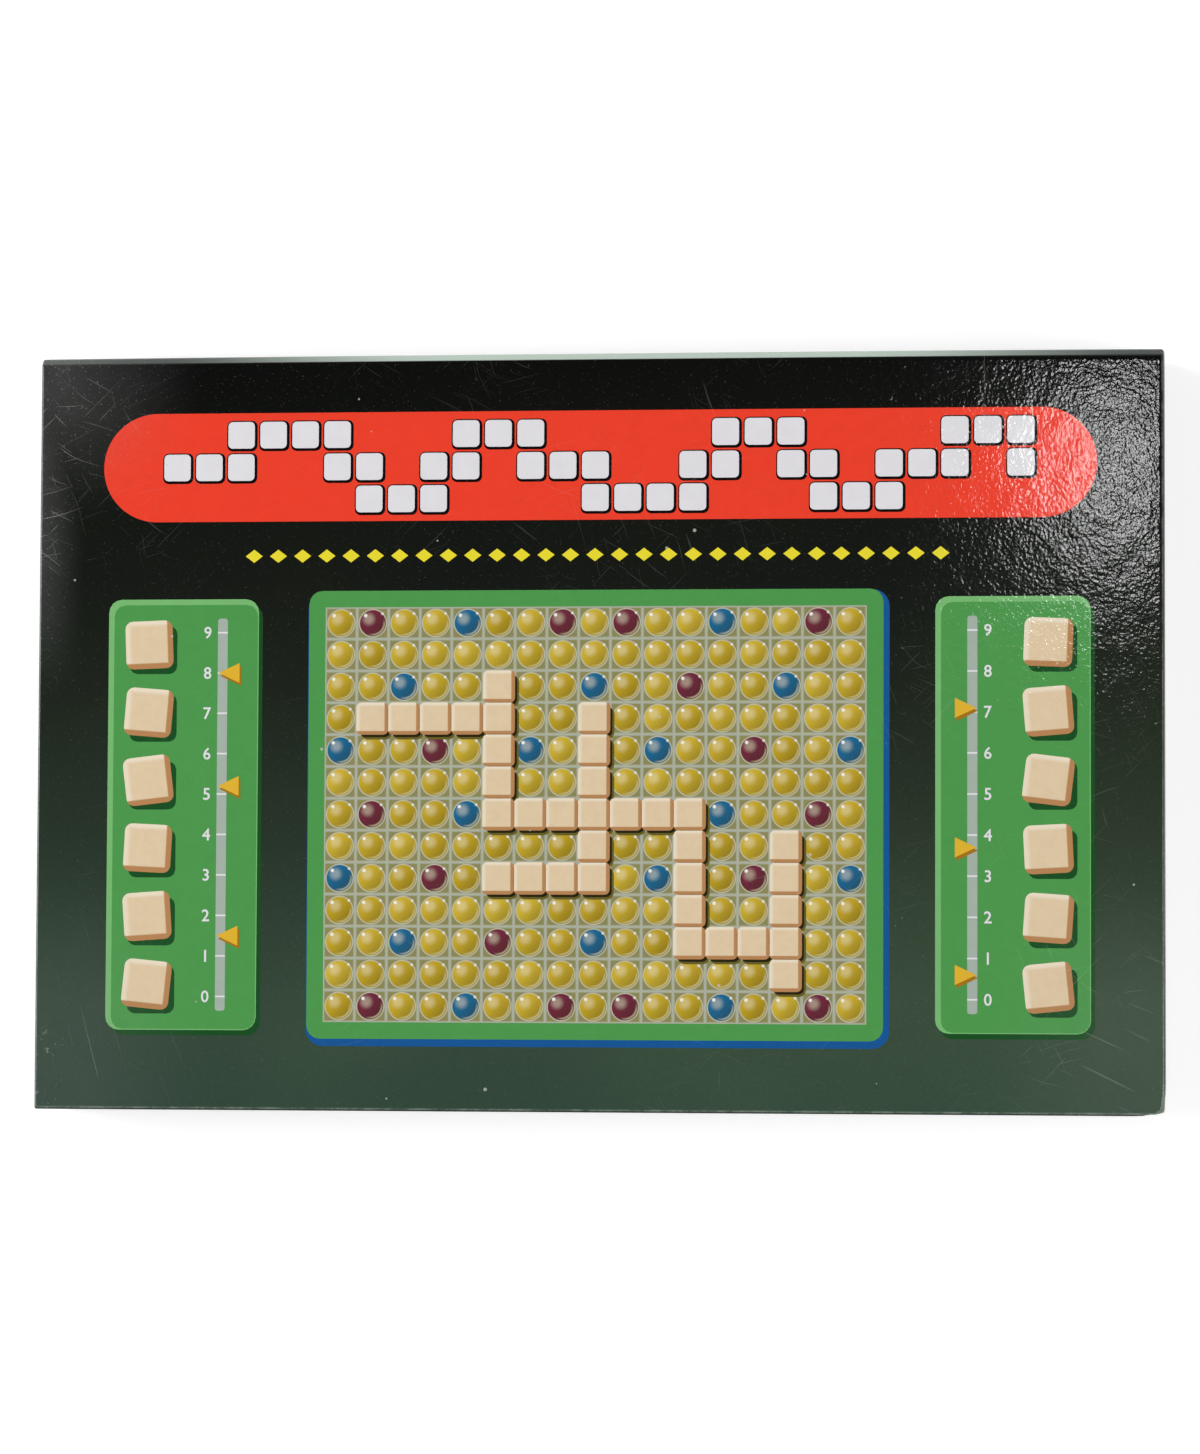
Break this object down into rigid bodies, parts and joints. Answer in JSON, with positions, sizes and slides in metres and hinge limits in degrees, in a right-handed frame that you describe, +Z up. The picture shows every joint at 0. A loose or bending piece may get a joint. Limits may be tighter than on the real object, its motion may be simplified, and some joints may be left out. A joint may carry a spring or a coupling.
{
  "type": "travel word tile game case",
  "caption": "Flat lift-off-lid game case in green-black printed board, holding a domed play board, tile racks with sliding score pointers, a rules leaflet and letter tiles.",
  "frame": {"origin": "centre of the base of the closed case, on the table", "axes": "+X along the case to the right of the lid's picture, +Y towards the picture's top, +Z up through the lid"},
  "size_m": [0.34, 0.228, 0.032],
  "materials": {
    "greyboard": "matte",
    "printed_wrap": "gloss",
    "white_card": "matte",
    "leaflet_paper": "matte",
    "blue_vinyl": "satin",
    "play_print": "satin",
    "clear_sheet": "gloss",
    "rack_green": "satin",
    "pointer_yellow": "satin",
    "tile_ivory": "satin"
  },
  "bodies": {
    "tray": {"tray_board": "greyboard", "tray_wrap": "printed_wrap", "deck": "white_card", "tile_well": "white_card", "rack_cradle": "white_card"},
    "lid": {"lid_board": "greyboard", "lid_wrap": "printed_wrap"},
    "board": {"board_cover": "blue_vinyl", "board_core": "greyboard", "play_sheet": "play_print", "edge_piping": "blue_vinyl", "dome_sheet": "clear_sheet"},
    "leaflet": {"leaflet": "leaflet_paper"},
    "tiles": {"tile_row_01": "tile_ivory", "tile_row_02": "tile_ivory", "tile_row_03": "tile_ivory", "tile_row_04": "tile_ivory", "tile_row_05": "tile_ivory", "tile_row_06": "tile_ivory", "tile_row_07": "tile_ivory", "tile_row_08": "tile_ivory", "tile_row_09": "tile_ivory", "tile_row_10": "tile_ivory"},
    "rack_1": {"rack_1": "rack_green"},
    "rack_2": {"rack_2": "rack_green"},
    "rack_3": {"rack_3": "rack_green"},
    "rack_4": {"rack_4": "rack_green"},
    "pointer_1_hundreds": {"pointer_1_hundreds": "pointer_yellow"},
    "pointer_1_tens": {"pointer_1_tens": "pointer_yellow"},
    "pointer_1_units": {"pointer_1_units": "pointer_yellow"},
    "pointer_2_hundreds": {"pointer_2_hundreds": "pointer_yellow"},
    "pointer_2_tens": {"pointer_2_tens": "pointer_yellow"},
    "pointer_2_units": {"pointer_2_units": "pointer_yellow"},
    "pointer_3_hundreds": {"pointer_3_hundreds": "pointer_yellow"},
    "pointer_3_tens": {"pointer_3_tens": "pointer_yellow"},
    "pointer_3_units": {"pointer_3_units": "pointer_yellow"},
    "pointer_4_hundreds": {"pointer_4_hundreds": "pointer_yellow"},
    "pointer_4_tens": {"pointer_4_tens": "pointer_yellow"},
    "pointer_4_units": {"pointer_4_units": "pointer_yellow"}
  },
  "joints": [
    {"name": "lid_lift", "type": "slide", "parent": "tray", "child": "lid", "axis": [0, 0, 1], "range_m": [0, 0.2]},
    {"name": "board_lift", "type": "slide", "parent": "tray", "child": "board", "axis": [0, 0, 1], "range_m": [0, 0.12]},
    {"name": "leaflet_lift", "type": "slide", "parent": "tray", "child": "leaflet", "axis": [0, 0, 1], "range_m": [0, 0.09]},
    {"name": "tiles_lift", "type": "slide", "parent": "tray", "child": "tiles", "axis": [0, 0, 1], "range_m": [0, 0.04]},
    {"name": "rack_1_lift", "type": "slide", "parent": "tray", "child": "rack_1", "axis": [0, 0, 1], "range_m": [0, 0.06]},
    {"name": "rack_2_lift", "type": "slide", "parent": "tray", "child": "rack_2", "axis": [0, 0, 1], "range_m": [0, 0.06]},
    {"name": "rack_3_lift", "type": "slide", "parent": "tray", "child": "rack_3", "axis": [0, 0, 1], "range_m": [0, 0.06]},
    {"name": "rack_4_lift", "type": "slide", "parent": "tray", "child": "rack_4", "axis": [0, 0, 1], "range_m": [0, 0.06]},
    {"name": "pointer_1_hundreds_slide", "type": "slide", "parent": "rack_1", "child": "pointer_1_hundreds", "axis": [1, 0, 0], "range_m": [0, 0.0216]},
    {"name": "pointer_1_tens_slide", "type": "slide", "parent": "rack_1", "child": "pointer_1_tens", "axis": [1, 0, 0], "range_m": [0, 0.0216]},
    {"name": "pointer_1_units_slide", "type": "slide", "parent": "rack_1", "child": "pointer_1_units", "axis": [1, 0, 0], "range_m": [0, 0.0216]},
    {"name": "pointer_2_hundreds_slide", "type": "slide", "parent": "rack_2", "child": "pointer_2_hundreds", "axis": [1, 0, 0], "range_m": [0, 0.0216]},
    {"name": "pointer_2_tens_slide", "type": "slide", "parent": "rack_2", "child": "pointer_2_tens", "axis": [1, 0, 0], "range_m": [0, 0.0216]},
    {"name": "pointer_2_units_slide", "type": "slide", "parent": "rack_2", "child": "pointer_2_units", "axis": [1, 0, 0], "range_m": [0, 0.0216]},
    {"name": "pointer_3_hundreds_slide", "type": "slide", "parent": "rack_3", "child": "pointer_3_hundreds", "axis": [1, 0, 0], "range_m": [0, 0.0216]},
    {"name": "pointer_3_tens_slide", "type": "slide", "parent": "rack_3", "child": "pointer_3_tens", "axis": [1, 0, 0], "range_m": [0, 0.0216]},
    {"name": "pointer_3_units_slide", "type": "slide", "parent": "rack_3", "child": "pointer_3_units", "axis": [1, 0, 0], "range_m": [0, 0.0216]},
    {"name": "pointer_4_hundreds_slide", "type": "slide", "parent": "rack_4", "child": "pointer_4_hundreds", "axis": [1, 0, 0], "range_m": [0, 0.0216]},
    {"name": "pointer_4_tens_slide", "type": "slide", "parent": "rack_4", "child": "pointer_4_tens", "axis": [1, 0, 0], "range_m": [0, 0.0216]},
    {"name": "pointer_4_units_slide", "type": "slide", "parent": "rack_4", "child": "pointer_4_units", "axis": [1, 0, 0], "range_m": [0, 0.0216]}
  ],
  "couplings": [
    {"joint": "board_lift", "follows": "lid_lift", "ratio": 0.6},
    {"joint": "leaflet_lift", "follows": "lid_lift", "ratio": 0.45},
    {"joint": "tiles_lift", "follows": "lid_lift", "ratio": 0.2},
    {"joint": "rack_1_lift", "follows": "lid_lift", "ratio": 0.3},
    {"joint": "rack_2_lift", "follows": "lid_lift", "ratio": 0.3},
    {"joint": "rack_3_lift", "follows": "lid_lift", "ratio": 0.3},
    {"joint": "rack_4_lift", "follows": "lid_lift", "ratio": 0.3}
  ]
}
